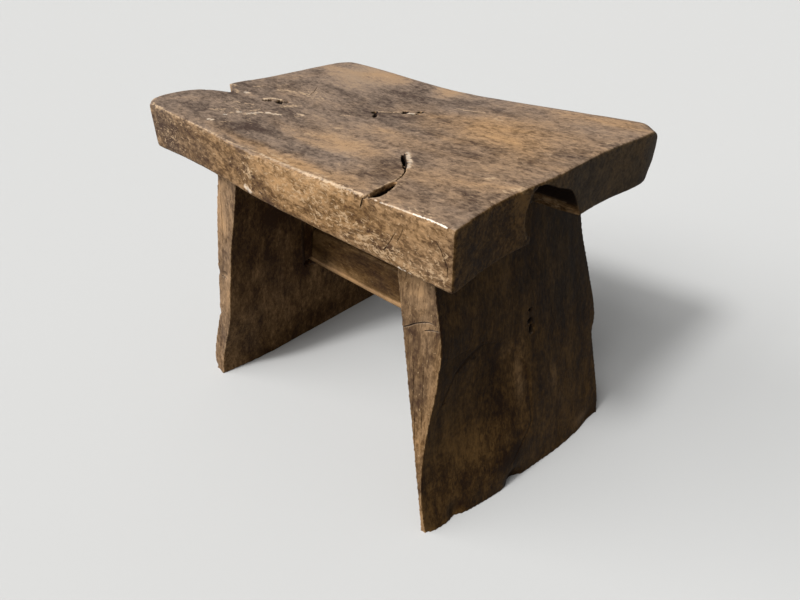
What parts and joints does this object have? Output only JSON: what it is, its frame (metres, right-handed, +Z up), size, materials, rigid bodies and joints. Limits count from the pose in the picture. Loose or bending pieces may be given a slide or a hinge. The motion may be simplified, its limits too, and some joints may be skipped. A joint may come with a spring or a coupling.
{
  "type": "stool",
  "caption": "Low rustic stool hewn from dark hardwood: a thick dished seat slab with a bite in its end stands on splayed natural-edge slab legs held by a low stretcher.",
  "frame": {"origin": "middle of the stool's bounding box, on the floor that its feet stand on", "axes": "+Z up; +X along the seat's long grain, towards the end with the open bite; -Y is the front, the long side that the picture shows"},
  "size_m": [0.4576, 0.3246, 0.3746],
  "materials": {
    "seat_wood": "old hewn hardwood, worn smooth, purple-grey patina over golden brown",
    "leg_wood": "old hewn hardwood, dull dark brown, paler on the worn front edges",
    "stretcher_wood": "old hewn hardwood, dull brown, paler along its worn lower front edge"
  },
  "bodies": {
    "root": {"seat": "seat_wood", "left_leg": "leg_wood", "right_leg": "leg_wood", "stretcher": "stretcher_wood"}
  },
  "joints": []
}
